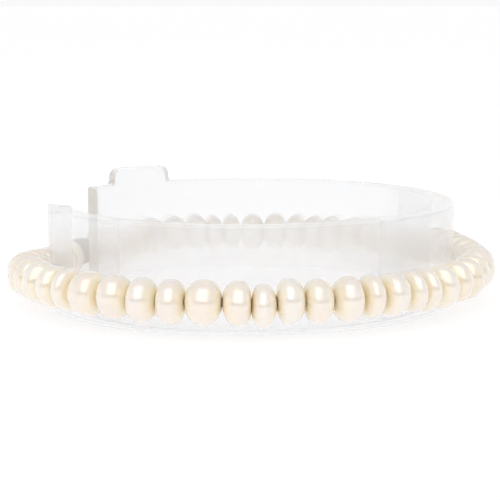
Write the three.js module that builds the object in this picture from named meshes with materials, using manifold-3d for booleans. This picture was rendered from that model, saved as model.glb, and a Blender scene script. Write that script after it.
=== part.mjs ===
// A single-strand bracelet of button pearls, worn round the clear C-shaped cuff that displays it.
// Millimetres, +Z up. The cuff stands on its lower edge, and the strand lies against its outer wall.
import * as THREE from 'three';
import { mergeVertices } from 'three/addons/utils/BufferGeometryUtils.js';
import Module from 'manifold-3d';

// ---------------------------------------------------------------- driving dimensions

// Outer wall of the cuff: an oval, a little fuller than an ellipse, whose free end springs outwards.
const OVAL_HALF_WIDTH = 32;
const OVAL_HALF_DEPTH = 27.3;
const OVAL_FULLNESS = 2.1;
const SPRING = 0.05;
const SPRING_AT = THREE.MathUtils.degToRad(495);
const SPRING_REACH = THREE.MathUtils.degToRad(80);

const CUFF_THICKNESS = 3.5;
const CUFF_HEIGHT = 15.8;
const CUFF_MOUTH = 21;
const CUFF_STEPS = 72;

// The mouth is cut on a slant: how much further along the oval the inner edge of each end lies.
const FRONT_END_SLANT = 4;
const BACK_END_SLANT = 1.4;

// Finger tab that stands on the upper edge, just short of the free end.
const TAB_FROM_END = 4.9;
const TAB_LENGTH = 11.6;
const TAB_RISE = 2.7;
const TAB_CORNER = 1.6;
const TAB_CORNER_STEPS = 5;
const TAB_STEPS = 12;

// The block that shapes the tab reaches past both faces of the wall.
const TAB_BLOCK_DEPTH = 4 * CUFF_THICKNESS;
const TAB_BLOCK_INSET = 2.5 * CUFF_THICKNESS;

const PEARL_DIAMETER = 6.5;
const PEARL_ROUNDNESS = 2.4;
const PEARL_BORE = 1.3;
const PEARL_GAP = 0.12;
const WALL_GAP = 0.15;
const STRAND_HEIGHT = 5.6;
const STRAND_SAG = 1.8;
const SAG_ARC = 194;
const SAG_REACH = 30;
const LATHE_SEGMENTS = 12;
const PROFILE_STEPS = 7;

const THREAD_DIAMETER = 0.5;
const THREAD_SIDES = 6;
const THREAD_STEPS = 78;
const THREAD_CLEARANCE = 0.3;
const RUN_CORE_DIAMETER = 0.6;
const RUN_CORE_SIDES = 6;

const CLASP_DIAMETER = 4.6;
const CLASP_LENGTH = 4.2;
const CLASP_SOCKET = 1;
const CLASP_GAP = 0.6;
const CLASP_ARC = 186.6;
const CLASP_SEGMENTS = 16;

// The clasp's outline from its end to its middle: shares of its radius, and of half its length.
const CLASP_SHOULDERS = [[0.55, 1], [0.86, 0.72], [1, 0.3]];

// Pearls between the clasp and the first of the charted ones, and the number in the whole strand.
const LEAD_PEARLS = 9;
const STRAND_PEARLS = 54;
const SINGLE_PEARLS = 40;
const RUN_PEARLS = 7;
const CHART_START_ARC = 14.6;
const THICKNESS_SPREAD = 0.35;
const DIAMETER_SPREAD = 0.15;
const RISE_SPREAD = 0.15;
const LEAN = 0.03;

// The pearls of the strand's front, in order from the left: size and height above the common line.
const FRONT_PEARLS = [
  { thickness: 3.7, diameter: 6.4, rise: 0 },
  { thickness: 2.9, diameter: 6.4, rise: 0.1 },
  { thickness: 5.0, diameter: 6.6, rise: 0.1 },
  { thickness: 4.6, diameter: 6.5, rise: 0.1 },
  { thickness: 4.0, diameter: 6.6, rise: 0 },
  { thickness: 3.9, diameter: 6.4, rise: 0 },
  { thickness: 5.1, diameter: 6.6, rise: 0.1 },
  { thickness: 3.9, diameter: 6.6, rise: 0 },
  { thickness: 3.4, diameter: 6.4, rise: -0.4 },
  { thickness: 3.8, diameter: 6.6, rise: 0.2 },
  { thickness: 4.0, diameter: 6.4, rise: 0 },
  { thickness: 4.2, diameter: 6.6, rise: 0 },
  { thickness: 3.1, diameter: 6.5, rise: 0.1 },
  { thickness: 4.0, diameter: 6.6, rise: 0.1 },
  { thickness: 2.5, diameter: 6.3, rise: 0.1 },
  { thickness: 2.9, diameter: 6.5, rise: 0 },
  { thickness: 3.9, diameter: 6.6, rise: 0 },
  { thickness: 3.5, diameter: 6.5, rise: 0.1 },
  { thickness: 3.4, diameter: 6.6, rise: -0.1 },
];

// ---------------------------------------------------------------- finishes

const nacre = () => new THREE.MeshStandardMaterial({ color: 0xf5ead6, roughness: 0.3, metalness: 0 });
const clearPlastic = () => new THREE.MeshStandardMaterial({ color: 0xf1f3f6, roughness: 0.15, metalness: 0 });
const silk = () => new THREE.MeshStandardMaterial({ color: 0xefe8da, roughness: 0.8, metalness: 0 });
const silverTone = () => new THREE.MeshStandardMaterial({ color: 0x8f8880, roughness: 0.3, metalness: 1 });

// ---------------------------------------------------------------- the oval and its offsets

const UP = new THREE.Vector3(0, 0, 1);
const LATHE_AXIS = new THREE.Vector3(0, 1, 0);
const WALL_POINTS = 150;
const MOUTH_POINTS = 16;

// The oval starts at its left end and runs anticlockwise: front, right end, back.
class CuffOval extends THREE.Curve {
  getPoint(t, target = new THREE.Vector3()) {
    const angle = Math.PI * (1 + 2 * t);
    const power = 2 / OVAL_FULLNESS;
    const cos = Math.cos(angle);
    const sin = Math.sin(angle);
    const fromSpring = Math.min(Math.abs(angle - SPRING_AT) / SPRING_REACH, 1);
    const sprung = 1 + SPRING * Math.cos(fromSpring * Math.PI / 2) ** 2;
    const x = OVAL_HALF_WIDTH * Math.sign(cos) * Math.abs(cos) ** power;
    const y = OVAL_HALF_DEPTH * Math.sign(sin) * Math.abs(sin) ** power;
    return target.set(x, y, 0).multiplyScalar(sprung);
  }
}

function outwards(curve, u) {
  return curve.getTangentAt(u).cross(UP).normalize();
}

const wall = new CuffOval();
wall.arcLengthDivisions = 2000;
const wallLength = wall.getLength();
const cuffLength = wallLength - CUFF_MOUTH;

// The strand keeps close to the wall, and is pulled straight across the mouth.
function strandRoute() {
  const distance = PEARL_DIAMETER / 2 + WALL_GAP;
  const points = [];
  for (let i = 0; i <= WALL_POINTS; i += 1) {
    const u = (i / WALL_POINTS) * (cuffLength / wallLength);
    points.push(wall.getPointAt(u).addScaledVector(outwards(wall, u), distance));
  }
  const mouth = new THREE.LineCurve3(wall.getPointAt(cuffLength / wallLength), wall.getPointAt(0));
  for (let i = 0; i <= MOUTH_POINTS; i += 1) {
    const u = i / MOUTH_POINTS;
    points.push(mouth.getPointAt(u).addScaledVector(outwards(mouth, u), distance));
  }
  return points;
}

// ---------------------------------------------------------------- solids for cutting and joining

const wasm = await Module();
wasm.setup();

function toManifold(geometry) {
  const bare = geometry.clone();
  bare.deleteAttribute('normal');
  bare.deleteAttribute('uv');
  const merged = mergeVertices(bare, 1e-4);
  return new wasm.Manifold(new wasm.Mesh({
    numProp: 3,
    vertProperties: new Float32Array(merged.attributes.position.array),
    triVerts: new Uint32Array(merged.index.array),
  }));
}

function fromManifold(solid) {
  const mesh = solid.getMesh();
  const geometry = new THREE.BufferGeometry();
  geometry.setAttribute('position', new THREE.BufferAttribute(mesh.vertProperties, 3));
  geometry.setIndex(new THREE.BufferAttribute(mesh.triVerts, 1));
  geometry.computeVertexNormals();
  return geometry;
}

// ---------------------------------------------------------------- display cuff

// A stretch of the wall seen from above, between two lengths along it, as an upright slab.
function wallSlab(from, to, steps, height) {
  const outer = [];
  const inner = [];
  for (let i = 0; i <= steps; i += 1) {
    const outerArc = THREE.MathUtils.lerp(from, to, i / steps);
    const slant = THREE.MathUtils.lerp(FRONT_END_SLANT, BACK_END_SLANT, outerArc / cuffLength);
    const innerU = (outerArc + slant) / wallLength;
    const outerPoint = wall.getPointAt(outerArc / wallLength);
    const innerPoint = wall.getPointAt(innerU).addScaledVector(outwards(wall, innerU), -CUFF_THICKNESS);
    outer.push(new THREE.Vector2(outerPoint.x, outerPoint.y));
    inner.unshift(new THREE.Vector2(innerPoint.x, innerPoint.y));
  }
  return new THREE.ExtrudeGeometry(new THREE.Shape([...outer, ...inner]), {
    depth: height,
    bevelEnabled: false,
  });
}

// The tab's outline seen square on, with rounded upper corners, as a block that crosses the wall.
function tabBlock(centreArc) {
  const half = TAB_LENGTH / 2;
  const top = CUFF_HEIGHT + TAB_RISE;
  const outline = new THREE.Shape();
  outline.moveTo(-half, 0);
  outline.lineTo(half, 0);
  outline.lineTo(half, top - TAB_CORNER);
  outline.absarc(half - TAB_CORNER, top - TAB_CORNER, TAB_CORNER, 0, Math.PI / 2);
  outline.lineTo(TAB_CORNER - half, top);
  outline.absarc(TAB_CORNER - half, top - TAB_CORNER, TAB_CORNER, Math.PI / 2, Math.PI);
  const block = new THREE.ExtrudeGeometry(outline, {
    depth: TAB_BLOCK_DEPTH,
    bevelEnabled: false,
    curveSegments: TAB_CORNER_STEPS,
  });
  const u = centreArc / wallLength;
  const normal = outwards(wall, u);
  const centre = wall.getPointAt(u).addScaledVector(normal, -TAB_BLOCK_INSET);
  const along = new THREE.Vector3().crossVectors(UP, normal);
  block.applyMatrix4(new THREE.Matrix4().makeBasis(along, UP, normal).setPosition(centre));
  return block;
}

function makeCuff() {
  const tabCentre = cuffLength - TAB_FROM_END - TAB_LENGTH / 2;
  const strip = toManifold(wallSlab(0, cuffLength, CUFF_STEPS, CUFF_HEIGHT));
  const tallStretch = wallSlab(
    tabCentre - TAB_LENGTH,
    cuffLength,
    TAB_STEPS,
    CUFF_HEIGHT + TAB_RISE,
  );
  const tab = toManifold(tallStretch).intersect(toManifold(tabBlock(tabCentre)));
  const cuff = new THREE.Mesh(fromManifold(strip.add(tab)), clearPlastic());
  cuff.name = 'display_cuff';
  return cuff;
}

// ---------------------------------------------------------------- order of the pearls on the strand

// A spread of sizes that never repeats along the strand and is the same each time.
const UNEVEN_TURN = 2.399963;
const UNEVEN_DRIFT = 1.13;
const UNEVEN_SALT = 1.7;

function uneven(index, salt) {
  return Math.sin(index * UNEVEN_TURN + salt * UNEVEN_SALT) * Math.cos(index * UNEVEN_DRIFT + salt);
}

const strandLine = new THREE.CatmullRomCurve3(strandRoute(), true);
strandLine.arcLengthDivisions = 2000;
const strandLength = strandLine.getLength();

// The strand's line at a length along it, with its height: it sags where the mouth leaves it bare.
function strandPoint(arc) {
  const along = THREE.MathUtils.euclideanModulo(arc, strandLength);
  const fromSag = Math.min(Math.abs(along - SAG_ARC), strandLength - Math.abs(along - SAG_ARC));
  const sag = Math.cos(Math.min(fromSag / SAG_REACH, 1) * Math.PI / 2) ** 2;
  return strandLine.getPointAt(along / strandLength).setZ(STRAND_HEIGHT - STRAND_SAG * sag);
}

// The direction of the thread through a piece of some length, from one of its ends to the other.
function strandAxis(arc, length) {
  return strandPoint(arc + length / 2).sub(strandPoint(arc - length / 2)).normalize();
}

// Pearls of ordinary size that fill one stretch of the strand from end to end.
function fillingPearls(count, stretch, firstIndex) {
  const pearls = [];
  for (let i = 0; i < count; i += 1) {
    const index = firstIndex + i;
    pearls.push({
      thickness: 1 + THICKNESS_SPREAD * 0.5 * uneven(index, 0),
      diameter: PEARL_DIAMETER + DIAMETER_SPREAD * uneven(index, 1),
      rise: RISE_SPREAD * uneven(index, 2),
    });
  }
  const sum = pearls.reduce((total, pearl) => total + pearl.thickness, 0);
  const scale = (stretch - count * PEARL_GAP) / sum;
  return pearls.map((pearl) => ({ ...pearl, thickness: pearl.thickness * scale }));
}

// Every pearl in order from the clasp, with the length along the strand at which it sits.
function orderPearls() {
  const first = CLASP_ARC + CLASP_LENGTH / 2 + CLASP_GAP - strandLength;
  const last = CLASP_ARC - CLASP_LENGTH / 2 - CLASP_GAP + PEARL_GAP;
  const lead = fillingPearls(LEAD_PEARLS, CHART_START_ARC - first, 1);
  const charted = FRONT_PEARLS.reduce((total, pearl) => total + pearl.thickness + PEARL_GAP, 0);
  const restCount = STRAND_PEARLS - LEAD_PEARLS - FRONT_PEARLS.length;
  const rest = fillingPearls(
    restCount,
    last - CHART_START_ARC - charted,
    LEAD_PEARLS + FRONT_PEARLS.length + 1,
  );
  let arc = first;
  return [...lead, ...FRONT_PEARLS, ...rest].map((pearl) => {
    const middle = arc + pearl.thickness / 2;
    arc += pearl.thickness + PEARL_GAP;
    return { ...pearl, arc: middle };
  });
}

// A pearl rests on the wall, so a larger one stands further out.
function placePearl(pearl, index) {
  const centre = strandPoint(pearl.arc);
  const axis = strandAxis(pearl.arc, pearl.thickness);
  const outward = new THREE.Vector3().crossVectors(axis, UP).normalize();
  centre.addScaledVector(outward, (pearl.diameter - PEARL_DIAMETER) / 2);
  centre.z += pearl.rise;
  axis.addScaledVector(UP, LEAN * uneven(index, 3));
  axis.addScaledVector(outward, LEAN * 0.5 * uneven(index, 4));
  return { ...pearl, centre, axis: axis.normalize() };
}

const pearls = orderPearls().map(placePearl);

// ---------------------------------------------------------------- pearls

// Half the outline of a button pearl: flat round its hole, full at its rim.
function pearlProfile(pearl, boreRadius) {
  const half = pearl.thickness / 2;
  const radius = pearl.diameter / 2;
  const start = Math.acos((boreRadius / radius) ** (PEARL_ROUNDNESS / 2));
  const points = [];
  for (let i = 0; i <= PROFILE_STEPS; i += 1) {
    const angle = start - 2 * start * i / PROFILE_STEPS;
    const r = radius * Math.cos(angle) ** (2 / PEARL_ROUNDNESS);
    const y = half * Math.sign(angle) * Math.abs(Math.sin(angle)) ** (2 / PEARL_ROUNDNESS);
    points.push(new THREE.Vector2(r, -y));
  }
  return points;
}

function placeAlong(object, centre, axis) {
  object.position.copy(centre);
  object.quaternion.setFromUnitVectors(LATHE_AXIS, axis);
  return object;
}

function makePearl(pearl, index) {
  const profile = pearlProfile(pearl, PEARL_BORE / 2);
  const geometry = new THREE.LatheGeometry([...profile, profile[0].clone()], LATHE_SEGMENTS);
  const mesh = placeAlong(new THREE.Mesh(geometry, nacre()), pearl.centre, pearl.axis);
  mesh.name = `pearl_${String(index + 1).padStart(2, '0')}`;
  return mesh;
}

// A run of pearls joined along its thread: solid pearls on a thin core through their middles.
function makeRun(run, firstIndex, tail) {
  let solid = null;
  const add = (object) => {
    object.updateMatrixWorld();
    const piece = toManifold(object.geometry.clone().applyMatrix4(object.matrixWorld));
    solid = solid ? solid.add(piece) : piece;
  };
  const core = (from, to) => {
    const axis = new THREE.Vector3().subVectors(to, from);
    const radius = RUN_CORE_DIAMETER / 2;
    const rod = new THREE.CylinderGeometry(radius, radius, axis.length(), RUN_CORE_SIDES);
    add(placeAlong(new THREE.Mesh(rod), from.clone().lerp(to, 0.5), axis.normalize()));
  };
  run.forEach((pearl, i) => {
    const profile = pearlProfile(pearl, 0);
    const turned = new THREE.Mesh(new THREE.LatheGeometry(profile, LATHE_SEGMENTS));
    add(placeAlong(turned, pearl.centre, pearl.axis));
    if (i > 0) {
      core(run[i - 1].centre, pearl.centre);
    }
  });
  if (tail) {
    core(run.at(-1).centre, tail);
  }
  const mesh = new THREE.Mesh(fromManifold(solid), nacre());
  mesh.name = `pearls_${firstIndex + 1}_${firstIndex + run.length}`;
  return mesh;
}

// ---------------------------------------------------------------- clasp

const claspAxis = strandAxis(CLASP_ARC, CLASP_LENGTH);
const claspCentre = strandPoint(CLASP_ARC);
const socketFloor = (side) => claspCentre.clone()
  .addScaledVector(claspAxis, side * (CLASP_LENGTH / 2 - CLASP_SOCKET + THREAD_CLEARANCE));

// A rounded barrel with a blind socket in each end, where the strand's ends are held.
function makeClasp() {
  const half = CLASP_LENGTH / 2;
  const radius = CLASP_DIAMETER / 2;
  const socket = PEARL_BORE / 2;
  const outline = [
    [0, half - CLASP_SOCKET],
    [socket, half - CLASP_SOCKET],
    [socket, half],
    ...CLASP_SHOULDERS.map(([out, along]) => [out * radius, along * half]),
  ];
  const mirrored = outline.toReversed().map(([r, y]) => [r, -y]);
  const profile = [...mirrored.toReversed(), ...outline.toReversed()];
  const points = profile.map(([r, y]) => new THREE.Vector2(r, y));
  const geometry = new THREE.LatheGeometry(points, CLASP_SEGMENTS);
  const clasp = placeAlong(new THREE.Mesh(geometry, silverTone()), claspCentre, claspAxis);
  clasp.name = 'clasp';
  return clasp;
}

// ---------------------------------------------------------------- thread

// The thread runs from the clasp through the single pearls, and ends inside the last of them.
function makeThread() {
  const singles = pearls.slice(0, SINGLE_PEARLS);
  const last = singles.at(-1);
  const endInside = last.centre.clone()
    .addScaledVector(last.axis, last.thickness / 2 - THREAD_CLEARANCE);
  const route = [socketFloor(1), ...singles.map((pearl) => pearl.centre), endInside];
  const section = new THREE.Shape();
  section.absarc(0, 0, THREAD_DIAMETER / 2, 0, 2 * Math.PI);
  const geometry = new THREE.ExtrudeGeometry(section, {
    steps: THREAD_STEPS,
    extrudePath: new THREE.CatmullRomCurve3(route, false, 'centripetal'),
    curveSegments: THREAD_SIDES,
    bevelEnabled: false,
  });
  const thread = new THREE.Mesh(geometry, silk());
  thread.name = 'thread';
  return thread;
}

// ---------------------------------------------------------------- assembly

const bracelet = new THREE.Group();
pearls.slice(0, SINGLE_PEARLS).forEach((pearl, i) => bracelet.add(makePearl(pearl, i)));
for (let first = SINGLE_PEARLS; first < STRAND_PEARLS; first += RUN_PEARLS) {
  const run = pearls.slice(first, first + RUN_PEARLS);
  const tail = first + RUN_PEARLS >= STRAND_PEARLS ? socketFloor(-1) : null;
  bracelet.add(makeRun(run, first, tail));
}
bracelet.add(makeThread(), makeClasp());

const displayed = new THREE.Group();
displayed.add(bracelet, makeCuff());

// The origin is under the middle of the whole, on the surface that the cuff stands on.
const box = new THREE.Box3().setFromObject(displayed, true);
const middle = box.getCenter(new THREE.Vector3());
displayed.position.set(-middle.x, -middle.y, -box.min.z);

export default displayed;
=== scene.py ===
"""A single strand of button pearls on the clear open cuff that displays it, with a barrel clasp."""
import math

import bmesh
import bpy
import numpy as np
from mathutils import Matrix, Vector


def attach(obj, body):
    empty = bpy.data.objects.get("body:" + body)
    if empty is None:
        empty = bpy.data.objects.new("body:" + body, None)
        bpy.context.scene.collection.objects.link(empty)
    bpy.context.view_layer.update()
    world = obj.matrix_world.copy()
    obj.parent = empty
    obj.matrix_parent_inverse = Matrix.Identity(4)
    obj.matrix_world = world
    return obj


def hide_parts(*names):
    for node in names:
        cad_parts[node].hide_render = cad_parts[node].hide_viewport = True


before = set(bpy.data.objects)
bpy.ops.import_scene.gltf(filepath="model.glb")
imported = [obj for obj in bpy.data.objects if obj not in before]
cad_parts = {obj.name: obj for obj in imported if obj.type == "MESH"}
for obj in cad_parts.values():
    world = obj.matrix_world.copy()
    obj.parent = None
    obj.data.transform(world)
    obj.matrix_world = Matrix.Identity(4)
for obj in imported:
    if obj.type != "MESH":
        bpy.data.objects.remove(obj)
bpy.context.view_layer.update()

# ---- Display cuff -----------------------------------------------------------------------------
# A strip of clear acrylic with a finger tab on its upper edge, sawn out flat, its edges eased by
# a cutter, then warmed and bent to an open oval. It stands on its lower edge.

MM = 0.001
OVAL_CENTRE = Vector((0.0165, -0.2328)) * MM
OVAL_HALF_WIDTH = 32 * MM
OVAL_HALF_DEPTH = 27.3 * MM
OVAL_FULLNESS = 2.1
SPRING = 0.05
SPRING_AT = math.radians(495)
SPRING_REACH = math.radians(80)

CUFF_THICKNESS = 3.5 * MM
CUFF_HEIGHT = 15.8 * MM
CUFF_MOUTH = 21 * MM
FRONT_END_SLANT = 4 * MM
BACK_END_SLANT = 1.4 * MM
END_CORNER = 0.6 * MM
EASED_EDGE = 0.4 * MM
# How much of the sawn faces' roughness and painted shade the front end gets.
FRONT_END_SAWN_AND_SHADE = 0.35

TAB_FROM_END = 4.9 * MM
TAB_LENGTH = 11.6 * MM
TAB_RISE = 2.7 * MM
TAB_CORNER = 1.6 * MM
TAB_FOOT = 0.8 * MM

OVAL_STEPS = 20000
CUFF_STATIONS = 240
CUFF_BANDS = 8


class Wire:
    """An output socket in a node tree. Sums written with it add Math nodes; node() adds any other."""

    def __init__(self, tree, socket=None):
        self.tree = tree
        self.socket = socket

    def node(self, kind, settings=None, sockets=None, output=0):
        """Adds a node, sets it up, fills its sockets with values or wires, and gives one output."""
        made = self.tree.nodes.new(kind)
        for name, value in (settings or {}).items():
            setattr(made, name, value)
        for name, value in (sockets or {}).items():
            if isinstance(value, Wire):
                self.tree.links.new(value.socket, made.inputs[name])
            else:
                made.inputs[name].default_value = value
        return Wire(self.tree, made.outputs[output]) if made.outputs else None

    def sum(self, operation, *terms):
        return self.node("ShaderNodeMath", {"operation": operation}, dict(enumerate(terms)))

    def __add__(self, other):
        return self.sum("ADD", self, other)

    def __sub__(self, other):
        return self.sum("SUBTRACT", self, other)

    def __mul__(self, other):
        return self.sum("MULTIPLY", self, other)

    def __truediv__(self, other):
        return self.sum("DIVIDE", self, other)

    def __pow__(self, other):
        return self.sum("POWER", self, other)

    def __radd__(self, other):
        return self.sum("ADD", other, self)

    def __rsub__(self, other):
        return self.sum("SUBTRACT", other, self)

    def __rmul__(self, other):
        return self.sum("MULTIPLY", other, self)

    def __rtruediv__(self, other):
        return self.sum("DIVIDE", other, self)


def new_material(name, surface):
    """A material whose surface is what surface() wires up."""
    material = bpy.data.materials.new(name)
    material.use_nodes = True
    material.node_tree.nodes.clear()
    start = Wire(material.node_tree)
    start.node("ShaderNodeOutputMaterial", None, {"Surface": surface(start)})
    return material


def object_place(start):
    return start.node("ShaderNodeTexCoord", None, None, "Object")


def noise(place, size, detail=2.0):
    """Soft noise between 0 and 1 whose blotches are about size across."""
    return place.node("ShaderNodeTexNoise", None, {"Vector": place, "Scale": 1 / size, "Detail": detail})


def blend(factor, first, second):
    """A colour between two others."""
    return factor.node("ShaderNodeMix", {"data_type": "RGBA"}, {0: factor, 6: first, 7: second}, 2)


def relief(height, depth):
    """The shading normal of a surface that height, from 0 to 1, raises by up to depth."""
    return height.node("ShaderNodeBump", None, {"Strength": 1.0, "Distance": depth, "Height": height})


def clear_acrylic(start):
    """Clear stock with a milky haze, rippled by the bending, and rougher where it was sawn. Its sawn
    faces are also painted brown and made less clear, as painted shade for how dark they look.
    """
    place = object_place(start)
    # The faces that face along the strip: its sawn ends and the tab's sides. Painted shade: they are
    # painted brown and made less see-through to stand for how dark they look. Their extra roughness is
    # the saw's own.
    sawn_and_shade = start.node("ShaderNodeAttribute", {"attribute_name": "sawn_and_shade"}, None, "Fac")
    haze = noise(place, 7 * MM)
    stretched = start.node("ShaderNodeMapping", None, {"Vector": place, "Scale": (1.0, 1.0, 0.15)})
    body = blend(haze, (0.955, 0.968, 0.985, 1.0), (0.98, 0.985, 0.995, 1.0))
    return start.node("ShaderNodeBsdfPrincipled", None, {
        "Base Color": blend(0.85 * sawn_and_shade, body, (0.58, 0.51, 0.43, 1.0)),
        "Roughness": 0.14 + 0.06 * haze + 0.25 * sawn_and_shade,
        "IOR": 1.49,
        "Alpha": 0.42 + 0.06 * haze + 0.45 * sawn_and_shade,
        "Transmission Weight": 0.65,
        "Normal": relief(noise(stretched, 3 * MM), 0.0015 * MM),
    })


def oval_line():
    """Points on the cuff's outer wall in plan, from the oval's left end anticlockwise."""
    turn = np.linspace(math.pi, 3 * math.pi, OVAL_STEPS + 1)
    from_spring = np.minimum(np.abs(turn - SPRING_AT) / SPRING_REACH, 1)
    sprung = 1 + SPRING * np.cos(from_spring * math.pi / 2) ** 2
    power = 2 / OVAL_FULLNESS
    x = OVAL_HALF_WIDTH * np.sign(np.cos(turn)) * np.abs(np.cos(turn)) ** power
    y = OVAL_HALF_DEPTH * np.sign(np.sin(turn)) * np.abs(np.sin(turn)) ** power
    return np.column_stack([x * sprung, y * sprung]) + OVAL_CENTRE


oval = oval_line()
oval_reach = np.concatenate([[0], np.cumsum(np.linalg.norm(np.diff(oval, axis=0), axis=1))])
cuff_length = oval_reach[-1] - CUFF_MOUTH


def on_oval(reach):
    """Points of the outer wall at lengths along it, and the directions that face outwards there."""
    point = np.column_stack([np.interp(reach, oval_reach, oval[:, k]) for k in (0, 1)])
    step = 0.5 * MM
    ahead, behind = (
        np.column_stack([np.interp(reach + d, oval_reach, oval[:, k]) for k in (0, 1)])
        for d in (step, -step)
    )
    along = (ahead - behind) / np.linalg.norm(ahead - behind, axis=1)[:, None]
    return point, np.column_stack([along[:, 1], -along[:, 0]])


def bend(flat):
    """Where points of the flat strip, (length, depth, height), lie once it is bent."""
    reach, depth, height = flat.T
    outer, _ = on_oval(reach)
    slant = FRONT_END_SLANT + (BACK_END_SLANT - FRONT_END_SLANT) * reach / cuff_length
    inner, outwards = on_oval(reach + slant)
    inner = inner - outwards * CUFF_THICKNESS
    share = (depth / CUFF_THICKNESS)[:, None]
    return np.column_stack([outer * (1 - share) + inner * share, height])


def arc(x, y, radius, start, end, steps=7):
    turns = np.radians(np.linspace(start, end, steps))
    return [(x + radius * math.cos(t), y + radius * math.sin(t)) for t in turns]


def strip_outline():
    """The strip sawn out flat, seen square on, as (length, height) anticlockwise."""
    tab_end = cuff_length - TAB_FROM_END
    tab_start = tab_end - TAB_LENGTH
    top = CUFF_HEIGHT
    tab_top = CUFF_HEIGHT + TAB_RISE
    return [
        (0, 0),
        (cuff_length, 0),
        *arc(cuff_length - END_CORNER, top - END_CORNER, END_CORNER, 0, 90),
        *arc(tab_end + TAB_FOOT, top + TAB_FOOT, TAB_FOOT, 270, 180),
        *arc(tab_end - TAB_CORNER, tab_top - TAB_CORNER, TAB_CORNER, 0, 90),
        *arc(tab_start + TAB_CORNER, tab_top - TAB_CORNER, TAB_CORNER, 90, 180),
        *arc(tab_start - TAB_FOOT, top + TAB_FOOT, TAB_FOOT, 360, 270),
        *arc(END_CORNER, top - END_CORNER, END_CORNER, 90, 180),
    ]


def slice_at(shell, place, facing):
    everything = shell.verts[:] + shell.edges[:] + shell.faces[:]
    bmesh.ops.bisect_plane(shell, geom=everything, plane_co=place, plane_no=facing, dist=1e-7)


def new_piece(name, mesh, material):
    piece = bpy.data.objects.new(name, mesh)
    bpy.context.scene.collection.objects.link(piece)
    if not mesh.materials:
        mesh.materials.append(material)
    return piece


def settle(piece):
    """Works a piece's modifiers into its mesh and takes them off."""
    graph = bpy.context.evaluated_depsgraph_get()
    plain = bpy.data.meshes.new_from_object(
        piece.evaluated_get(graph), preserve_all_data_layers=True, depsgraph=graph)
    material = piece.data.materials[0]
    plain.materials.clear()
    plain.materials.append(material)
    plain.polygons.foreach_set("material_index", [0] * len(plain.polygons))
    piece.modifiers.clear()
    piece.data = plain
    plain.name = piece.name
    return piece


def make_cuff():
    shell = bmesh.new()
    face = shell.faces.new([shell.verts.new((x, 0, z)) for x, z in strip_outline()])
    pushed = bmesh.ops.extrude_face_region(shell, geom=[face])["geom"]
    far_side = [v for v in pushed if isinstance(v, bmesh.types.BMVert)]
    bmesh.ops.translate(shell, verts=far_side, vec=(0, CUFF_THICKNESS, 0))
    bmesh.ops.recalc_face_normals(shell, faces=shell.faces)
    rims = [e for e in shell.edges if e.calc_face_angle() > math.radians(50)]
    bmesh.ops.bevel(shell, geom=rims, offset=EASED_EDGE, segments=4, profile=0.5, affect="EDGES")
    for i in range(1, CUFF_STATIONS):
        slice_at(shell, (cuff_length * i / CUFF_STATIONS, 0, 0), (1, 0, 0))
    for i in range(1, CUFF_BANDS):
        slice_at(shell, (0, 0, CUFF_HEIGHT * i / CUFF_BANDS), (0, 0, 1))
    # Marks the faces that face along the strip, its sawn ends and the tab's sides, for their roughness
    # and their painted shade. The front end gets less of it.
    sawn_and_shade = shell.verts.layers.float.new("sawn_and_shade")
    shell.normal_update()
    for vertex in shell.verts:
        at_end = min(max(2 * abs(vertex.normal.x) - 0.6, 0), 1)
        vertex[sawn_and_shade] = at_end * (FRONT_END_SAWN_AND_SHADE if vertex.co.x < cuff_length / 2 else 1)
    for vertex, place in zip(shell.verts, bend(np.array([v.co for v in shell.verts]))):
        vertex.co = place
    if shell.calc_volume(signed=True) < 0:
        bmesh.ops.reverse_faces(shell, faces=shell.faces)
    mesh = bpy.data.meshes.new("clear_cuff")
    shell.to_mesh(mesh)
    shell.free()
    mesh.shade_smooth()
    cuff = new_piece("clear_cuff", mesh, new_material("clear_acrylic", clear_acrylic))
    cuff.modifiers.new("flat_faces_first", "WEIGHTED_NORMAL").weight = 100
    return settle(cuff)


clear_cuff = make_cuff()
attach(clear_cuff, "root")
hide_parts("display_cuff")

# ---- Pearls -----------------------------------------------------------------------------------
# Fifty-four freshwater button pearls, sorted only roughly for size, so each is a little out of
# round and fuller to one side. Drilled through their short way and strung face to face.

PEARL_SEED = 11
PEARL_STEPS_ROUND = 52
PEARL_STEPS_OUTLINE = 30
RUN_PEARLS = 7
MEASURING_ROUNDS = 4
SORTING_ROUNDS = 6
RIM_SHARE = 0.85
CROWN_SHARE = 0.8
HALF_WAY_OUT = 0.45
THREAD_SIDE = 1.2
TOUCHING = 0.1 * MM
HOLE_SHARE = 0.1
HOLE_RADIUS = 0.42 * MM
SURFACE_SWELL = 0.025


def nacre(start):
    """White body that leans to cream, rose or green, warmer towards the hole, under a clear lustre. The
    warmth towards the hole is painted light, a glow where light passes between touching pearls.
    """
    attribute = lambda name: start.node("ShaderNodeAttribute", {"attribute_name": name}, None, "Fac")
    place = object_place(start)
    cream = (0.97, 0.805, 0.705, 1.0)
    rose = (0.97, 0.785, 0.735, 1.0)
    green = (0.94, 0.83, 0.73, 1.0)
    white = (0.96, 0.87, 0.82, 1.0)
    hue = blend(attribute("hue"), blend(attribute("hue") * 2 - 0.6, cream, green), rose)
    body = blend(0.2 + 0.6 * attribute("paleness"), hue, white)
    clouds = noise(place, 2.2 * MM)
    return start.node("ShaderNodeBsdfPrincipled", None, {
        # Painted light: the warm colour towards the hole stands for the glow of light passing between
        # the pearls where they touch. The clouds add a little of it at random.
        "Base Color": blend(
            0.15 * clouds + 0.95 * attribute("painted_glow_near_hole"), body, (1.0, 0.84, 0.63, 1.0)),
        "Roughness": 0.18 + 0.08 * clouds,
        "Metallic": 0.08,
        "Specular IOR Level": 0.6,
        "IOR": 1.56,
        "Subsurface Weight": 0.9,
        "Subsurface Radius": (1.0, 0.85, 0.65),
        "Subsurface Scale": 2.4 * MM,
        "Coat Weight": 1.0,
        "Coat Roughness": 0.16,
        "Coat IOR": 1.85,
        "Normal": relief(noise(place, 0.5 * MM), 0.004 * MM),
    })


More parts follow.
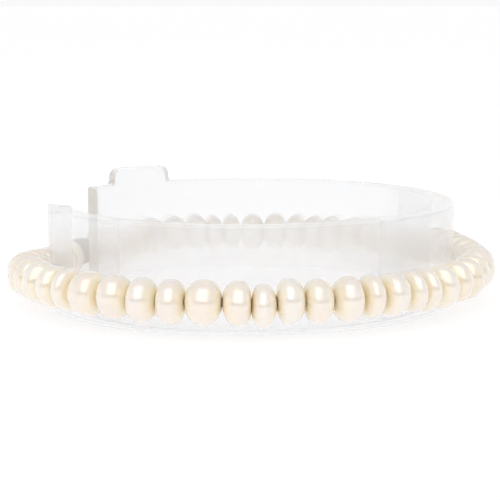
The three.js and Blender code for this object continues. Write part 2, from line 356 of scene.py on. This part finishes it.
def measure(vertices):
    """A pearl's centre, the direction of its hole, its radius and half its thickness."""
    centre = (vertices.max(0) + vertices.min(0)) / 2
    for _ in range(MEASURING_ROUNDS):
        spokes = vertices - centre
        reach = np.linalg.norm(spokes, axis=1)
        rim = spokes[reach > RIM_SHARE * reach.max()]
        axis = np.linalg.svd(rim - rim.mean(0))[2][2]
        along = spokes @ axis
        across = np.linalg.norm(spokes - np.outer(along, axis), axis=1)
        shoulders = np.abs(along[across > HALF_WAY_OUT * across.max()]).max()
        body = along[np.abs(along) < THREAD_SIDE * shoulders]
        centre = centre + axis * (body.max() + body.min()) / 2
    if centre[0] * axis[1] < centre[1] * axis[0]:
        axis = -axis
    return centre, axis, across.max(), (body.max() - body.min()) / 2


def measure_run(vertices):
    """The same for each pearl of a run, which are told apart by the flat side each point is nearer."""
    turn = np.arctan2(vertices[:, 1], vertices[:, 0])
    line = np.polyval(np.polyfit(turn, vertices[:, 2], 2), turn)
    rise = np.abs(vertices[:, 2] - line)
    crown = np.sort(turn[rise > CROWN_SHARE * rise.max()])
    gaps = np.sort(np.argsort(np.diff(crown))[-(RUN_PEARLS - 1):])
    owner = np.searchsorted((crown[gaps] + crown[gaps + 1]) / 2, turn)
    for _ in range(SORTING_ROUNDS):
        found = [measure(vertices[owner == k]) for k in range(RUN_PEARLS)]
        owner = np.argmin([np.abs((vertices - c) @ a) / half for c, a, _, half in found], axis=0)
    return found


def corners_of(name):
    """The corner points of a CAD node, each once."""
    return np.unique(np.round([v.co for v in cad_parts[name].data.vertices], 7), axis=0)


def pearl_number(name):
    return int(name.split("_")[1])


pearls = []
for name in sorted((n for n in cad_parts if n.startswith("pearl")), key=pearl_number):
    points = corners_of(name)
    pearls += measure_run(points) if name.startswith("pearls_") else [measure(points)]


def part(vector, axis):
    """One of a vector's three numbers."""
    return vector.node("ShaderNodeSeparateXYZ", None, {0: vector}, axis)


def pearl_shapes(start):
    """Grows a pearl round each point of the strand: an oval outline turned about its hole."""
    given = lambda name: start.node("NodeGroupInput", None, None, name)
    chance = lambda low, high, salt: start.node(
        "FunctionNodeRandomValue", {"data_type": "FLOAT"},
        {2: low, 3: high, "ID": start.node("GeometryNodeInputIndex"), "Seed": given("Seed") + salt}, 1)
    keep = lambda mesh, name, value: mesh.node(
        "GeometryNodeStoreNamedAttribute", {"data_type": "FLOAT", "domain": "POINT"},
        {"Geometry": mesh, "Name": name, "Value": value})
    kept = lambda name, kind="FLOAT": start.node(
        "GeometryNodeInputNamedAttribute", {"data_type": kind}, {"Name": name})
    vectors = lambda operation, *terms: start.node(
        "ShaderNodeVectorMath", {"operation": operation}, dict(enumerate(terms)))
    scaled = lambda vector, amount: start.node(
        "ShaderNodeVectorMath", {"operation": "SCALE"}, {0: vector, "Scale": amount})

    strand = given("Strand")
    for salt, (name, low, high) in enumerate((
            ("fullness", 2.05, 2.35), ("flatness", 2.4, 2.9), ("shift", -0.16, 0.16),
            ("oval", -0.02, 0.02), ("oval_turn", 0.0, math.pi), ("hue", 0.0, 1.0),
            ("paleness", 0.0, 1.0))):
        strand = keep(strand, name, chance(low, high, salt))

    sheet = start.node("GeometryNodeMeshGrid", None, {
        "Size X": 1.0, "Size Y": 1.0,
        "Vertices X": given("Steps round") + 1, "Vertices Y": given("Steps along outline") + 1})
    corner = start.node("GeometryNodeInputPosition")
    sheet = keep(keep(sheet, "round", part(corner, "X") + 0.5), "outline", part(corner, "Y") + 0.5)
    grown = start.node("GeometryNodeInstanceOnPoints", None, {"Points": strand, "Instance": sheet})
    grown = start.node("GeometryNodeRealizeInstances", None, {"Geometry": grown})

    radius, half = kept("radius"), kept("half")
    flat, full = 2 / kept("flatness"), 2 / kept("fullness")
    hole = given("Hole radius")
    share = kept("outline") / (1 - HOLE_SHARE)
    widest = start.sum("ARCCOSINE", (hole / radius) ** (1 / flat))
    swing = widest * (1 - 2 * share)
    face = start.sum("SIGN", swing)
    out = radius * start.sum("COSINE", swing) ** flat
    side = half * face * start.sum("ABSOLUTE", start.sum("SINE", swing)) ** full
    mouth = half * start.sum("SINE", widest) ** full
    down_hole = (kept("outline") - (1 - HOLE_SHARE)) / HOLE_SHARE
    in_hole = start.sum("GREATER_THAN", down_hole, 0.05)
    mix = lambda factor, first, second: first + factor * (second - first)
    out = mix(in_hole, out, hole)
    side = mix(in_hole, side, mouth * (2 * down_hole - 1))
    side = side + kept("shift") * half * (1 - (side / mouth) ** 2)

    turn = kept("round") * math.tau
    egg = 1 + kept("oval") * start.sum("COSINE", 2 * turn - 2 * kept("oval_turn"))
    axis = kept("axis", "FLOAT_VECTOR")
    outwards = vectors("NORMALIZE", vectors("CROSS_PRODUCT", axis, (0.0, 0.0, 1.0)))
    upwards = vectors("CROSS_PRODUCT", outwards, axis)
    spoke = vectors("ADD", scaled(outwards, out * egg * start.sum("COSINE", turn)),
                    scaled(upwards, out * egg * start.sum("SINE", turn)))
    spoke = vectors("ADD", spoke, scaled(axis, side))
    middle = kept("middle", "FLOAT_VECTOR")
    swell = noise(vectors("ADD", middle, spoke), 2.6 * MM, 1.0) - 0.75
    place = vectors("ADD", middle, scaled(spoke, 1 + given("Swell") * swell))
    # How near the hole a point lies, which sets the painted warm glow between the pearls.
    painted_glow_near_hole = 1 - start.sum("MINIMUM", out / radius, 1.0) ** 3
    grown = keep(grown, "painted_glow_near_hole", painted_glow_near_hole)
    grown = start.node("GeometryNodeSetPosition", None, {"Geometry": grown, "Position": place})
    grown = start.node("GeometryNodeMergeByDistance", None, {"Geometry": grown, "Distance": 1e-6})
    grown = start.node("GeometryNodeSetShadeSmooth", None, {"Geometry": grown})
    grown = start.node("GeometryNodeSetMaterial", None, {"Geometry": grown, "Material": given("Nacre")})
    start.node("NodeGroupOutput", None, {"Pearls": grown})


def new_shaper(name, inputs, output, build):
    """A Geometry Nodes tree with named inputs, (type, value) each, wired up by build()."""
    tree = bpy.data.node_groups.new(name, "GeometryNodeTree")
    for label, (kind, _) in inputs.items():
        tree.interface.new_socket(label, in_out="INPUT", socket_type="NodeSocket" + kind)
    tree.interface.new_socket(output, in_out="OUTPUT", socket_type="NodeSocketGeometry")
    build(Wire(tree))
    return tree


def shape_with(piece, tree, inputs):
    """Runs a Geometry Nodes tree on a piece, with its inputs' values, and keeps the result."""
    modifier = piece.modifiers.new(tree.name, "NODES")
    modifier.node_group = tree
    for socket in tree.interface.items_tree:
        if socket.in_out == "INPUT" and inputs[socket.name][1] is not None:
            modifier[socket.identifier] = inputs[socket.name][1]
    return settle(piece)


def make_pearls():
    points = bpy.data.meshes.new("pearl_strand")
    points.from_pydata([tuple(p[0]) for p in pearls], [], [])
    for name, kind, values in (
            ("middle", "FLOAT_VECTOR", [p[0] for p in pearls]),
            ("axis", "FLOAT_VECTOR", [p[1] for p in pearls]),
            ("radius", "FLOAT", [p[2] for p in pearls]),
            ("half", "FLOAT", [p[3] + TOUCHING for p in pearls])):
        field = "vector" if kind == "FLOAT_VECTOR" else "value"
        points.attributes.new(name, kind, "POINT").data.foreach_set(field, np.ravel(values))
    pearl_nacre = new_material("pearl_nacre", nacre)
    inputs = {
        "Strand": ("Geometry", None),
        "Steps round": ("Int", PEARL_STEPS_ROUND),
        "Steps along outline": ("Int", PEARL_STEPS_OUTLINE),
        "Hole radius": ("Float", HOLE_RADIUS),
        "Swell": ("Float", SURFACE_SWELL),
        "Seed": ("Int", PEARL_SEED),
        "Nacre": ("Material", pearl_nacre),
    }
    tree = new_shaper("button_pearls", inputs, "Pearls", pearl_shapes)
    return shape_with(new_piece("pearl_strand", points, pearl_nacre), tree, inputs)


pearl_strand = make_pearls()
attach(pearl_strand, "root")
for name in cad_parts:
    if name.startswith("pearl"):
        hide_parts(name)

# ---- Clasp ------------------------------------------------------------------------------------
# A plain screw barrel of darkened silver-tone metal in two halves, turned, with a collar at each
# end that the knotted thread goes into, and a fine gap where the halves meet.

CLASP_SEGMENTS = 64
SOCKET_REACH = 0.6
CLASP_HALF_OUTLINE = [
    (0.0, 0.55), (0.12, 0.55), (0.24, 0.56), (0.27, 0.62), (0.27, 0.9), (0.29, 0.98), (0.34, 1.0),
    (0.48, 1.0), (0.53, 0.97), (0.56, 0.91), (0.57, 0.86), (0.62, 0.84), (0.74, 0.8), (0.84, 0.72),
    (0.92, 0.6), (0.97, 0.46), (1.0, 0.3), (1.0, 0.1), (0.99, 0.06), (0.96, 0.045), (0.93, 0.04),
]


def dark_metal(start):
    """Polished once, now dulled to a warm grey, with faint marks of turning round it."""
    place = object_place(start)
    wear = noise(place, 0.8 * MM, 4.0)
    return start.node("ShaderNodeBsdfPrincipled", None, {
        "Base Color": blend(wear, (0.20, 0.165, 0.135, 1.0), (0.42, 0.37, 0.31, 1.0)),
        "Metallic": 1.0,
        "Roughness": 0.22 + 0.2 * wear,
        "Normal": relief(noise(place, 0.15 * MM), 0.003 * MM),
    })


def make_clasp():
    points = corners_of("clasp")
    middle = points.mean(0)
    axis = np.linalg.svd(points - middle)[2][0]
    if axis @ (pearls[0][0] - pearls[-1][0]) < 0:
        axis = -axis
    along = (points - middle) @ axis
    radius = np.linalg.norm(points - middle - np.outer(along, axis), axis=1).max()
    half = along.max()
    outwards = np.cross(axis, (0, 0, 1))
    outwards = outwards / np.linalg.norm(outwards)
    upwards = np.cross(outwards, axis)
    outline = CLASP_HALF_OUTLINE + [(r, -y) for r, y in CLASP_HALF_OUTLINE[::-1]]
    barrel = bmesh.new()
    rings = []
    for r, y in outline:
        turns = np.linspace(0, math.tau, CLASP_SEGMENTS, endpoint=False) if r else [0]
        rings.append([barrel.verts.new(
            middle + axis * y * half + (outwards * math.cos(t) + upwards * math.sin(t)) * r * radius)
            for t in turns])
    for near, far in zip(rings, rings[1:]):
        for k in range(CLASP_SEGMENTS):
            after = (k + 1) % CLASP_SEGMENTS
            corners = [
                near[k % len(near)], near[after % len(near)],
                far[after % len(far)], far[k % len(far)]]
            barrel.faces.new(list(dict.fromkeys(corners)))
    bmesh.ops.recalc_face_normals(barrel, faces=barrel.faces)
    mesh = bpy.data.meshes.new("barrel_clasp")
    barrel.to_mesh(mesh)
    barrel.free()
    mesh.shade_smooth()
    sockets = [middle + axis * half * side * SOCKET_REACH for side in (1, -1)]
    return new_piece("barrel_clasp", mesh, new_material("dark_metal", dark_metal)), sockets


barrel_clasp, clasp_sockets = make_clasp()
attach(barrel_clasp, "root")
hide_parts("clasp")

# ---- Thread -----------------------------------------------------------------------------------
# White silk of three twisted plies, run through every pearl from one socket of the clasp to the
# other. It shows only between the pearls.

THREAD_RADIUS = 0.25 * MM
PLY_DEPTH = 0.18
PLY_TWIST = 2.4 * MM
THREAD_STEP = 0.22 * MM
THREAD_SEGMENTS = 12
STEPS_BETWEEN = 8


def silk(start):
    """Soft white floss with a slight sheen and faint streaks of fibre."""
    place = object_place(start)
    fibres = noise(place, 0.2 * MM, 4.0)
    return start.node("ShaderNodeBsdfPrincipled", None, {
        "Base Color": blend(fibres, (0.88, 0.80, 0.66, 1.0), (0.95, 0.90, 0.80, 1.0)),
        "Roughness": 0.6 + 0.2 * fibres,
        "Sheen Weight": 0.3,
        "Normal": relief(fibres, 0.02 * MM),
    })


def twisted_thread(start):
    """Sweeps a three-lobed section along the line, turning as it goes."""
    given = lambda name: start.node("NodeGroupInput", None, None, name)
    line = start.node("GeometryNodeMeshToCurve", None, {"Mesh": given("Line")})
    line = start.node(
        "GeometryNodeResampleCurve", {"mode": "LENGTH"}, {"Curve": line, "Length": given("Step")})
    length = start.node("GeometryNodeSplineParameter", None, None, "Length")
    line = start.node("GeometryNodeSetCurveTilt", None, {
        "Curve": line, "Tilt": length * (math.tau / given("Twist length"))})
    section = start.node("GeometryNodeCurvePrimitiveCircle", None, {
        "Resolution": given("Segments"), "Radius": 1.0})
    corner = start.node("GeometryNodeInputPosition")
    turn = start.sum("ARCTAN2", part(corner, "Y"), part(corner, "X"))
    reach = given("Radius") * (1 - given("Ply depth") * (0.5 - 0.5 * start.sum("COSINE", 3 * turn)))
    section = start.node("GeometryNodeSetPosition", None, {"Geometry": section, "Position": start.node(
        "ShaderNodeCombineXYZ", None,
        {"X": reach * start.sum("COSINE", turn), "Y": reach * start.sum("SINE", turn)})})
    swept = start.node("GeometryNodeCurveToMesh", None, {
        "Curve": line, "Profile Curve": section, "Fill Caps": True})
    swept = start.node("GeometryNodeSetShadeSmooth", None, {"Geometry": swept})
    swept = start.node("GeometryNodeRealizeInstances", None, {"Geometry": swept})
    swept = start.node("GeometryNodeSetMaterial", None, {"Geometry": swept, "Material": given("Silk")})
    start.node("NodeGroupOutput", None, {"Thread": swept})


def smooth_through(points, steps):
    """A smooth line through points, with so many steps between each two."""
    line = np.vstack([2 * points[0] - points[1], points, 2 * points[-1] - points[-2]])
    found = []
    for a, b, c, d in zip(line, line[1:], line[2:], line[3:]):
        for t in np.linspace(0, 1, steps, endpoint=False):
            found.append(0.5 * (2 * b + (c - a) * t + (2 * a - 5 * b + 4 * c - d) * t ** 2
                                + (3 * b - a - 3 * c + d) * t ** 3))
    return [*found, points[-1]]


def make_thread():
    route = np.array([clasp_sockets[0], *(p[0] for p in pearls), clasp_sockets[1]])
    path = smooth_through(route, STEPS_BETWEEN)
    line = bpy.data.meshes.new("silk_thread")
    line.from_pydata([tuple(p) for p in path], [(k, k + 1) for k in range(len(path) - 1)], [])
    thread_silk = new_material("thread_silk", silk)
    inputs = {
        "Line": ("Geometry", None),
        "Step": ("Float", THREAD_STEP),
        "Twist length": ("Float", PLY_TWIST),
        "Segments": ("Int", THREAD_SEGMENTS),
        "Radius": ("Float", THREAD_RADIUS),
        "Ply depth": ("Float", PLY_DEPTH),
        "Silk": ("Material", thread_silk),
    }
    tree = new_shaper("twisted_thread", inputs, "Thread", twisted_thread)
    return shape_with(new_piece("silk_thread", line, thread_silk), tree, inputs)


silk_thread = make_thread()
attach(silk_thread, "root")
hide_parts("thread")

# ---- Table, light and camera ------------------------------------------------------------------
# A broad white table under a soft overhead light in a pale room. Low down in front the room is
# in shade, which gives each pearl the thin dark line across its middle.

FLOOR_SIZE = 40.0


def white_table(start):
    """Matt white and lit from beneath, so that no shadow on it is deep."""
    tone = noise(object_place(start), 0.4)
    return start.node("ShaderNodeBsdfPrincipled", None, {
        "Base Color": blend(tone, (0.31, 0.31, 0.315, 1.0), (0.34, 0.34, 0.345, 1.0)),
        "Roughness": 0.6,
        "Emission Color": (1.0, 1.0, 1.0, 1.0),
        "Emission Strength": 0.69,
    })


def make_floor():
    half = FLOOR_SIZE / 2
    mesh = bpy.data.meshes.new("table")
    corners = [(-half, -half, 0), (half, -half, 0), (half, half, 0), (-half, half, 0)]
    mesh.from_pydata(corners, [], [(0, 1, 2, 3)])
    surface = new_material("white_table", white_table)
    surface.cycles.emission_sampling = "NONE"
    return new_piece("table", mesh, surface)


def pale_room(start):
    """Even light all round, less of it overhead, with shade low down in front."""
    direction = start.node("ShaderNodeTexCoord", None, None, "Generated")
    ease = lambda value, low, high: start.node(
        "ShaderNodeMapRange", {"interpolation_type": "SMOOTHSTEP"},
        {"Value": value, "From Min": low, "From Max": high})
    overhead = ease(part(direction, "Z"), 0.15, 0.6)
    low_down = 1 - ease(part(direction, "Z"), 0.2, 0.32)
    in_front = ease(0 - part(direction, "Y"), 0.0, 0.5)
    light = blend(overhead, (0.95, 0.95, 0.95, 1.0), (0.62, 0.62, 0.625, 1.0))
    light = blend(low_down * in_front, light, (0.19, 0.16, 0.165, 1.0))
    return start.node("ShaderNodeBackground", None, {"Color": light, "Strength": 1.0})


make_floor()

room = bpy.data.worlds.new("pale_room")
room.use_nodes = True
room.node_tree.nodes.clear()
room_start = Wire(room.node_tree)
room_start.node("ShaderNodeOutputWorld", None, {"Surface": pale_room(room_start)})
bpy.context.scene.world = room


def add_softbox(name, place, target, size, watts):
    light = bpy.data.lights.new(name, "AREA")
    light.shape = "RECTANGLE"
    light.size, light.size_y = size
    light.energy = watts
    lamp = bpy.data.objects.new(name, light)
    lamp.location = place
    lamp.rotation_euler = (Vector(target) - Vector(place)).to_track_quat("-Z", "Y").to_euler()
    bpy.context.scene.collection.objects.link(lamp)


add_softbox("front_softbox", (-0.12, -0.5, 0.6), (0, 0, 0.005), (0.8, 0.95), 3.0)

camera = bpy.data.objects.new("camera", bpy.data.cameras.new("camera"))
camera.data.lens = 101.16
camera.data.sensor_width = 36
camera.data.clip_start = 0.01
camera.location = (-0.02750, -0.21951, 0.0465)
camera.rotation_euler = (math.radians(80.03), 0, math.radians(-7.1))
bpy.context.scene.collection.objects.link(camera)
bpy.context.scene.camera = camera
bpy.context.scene.view_settings.view_transform = "Standard"
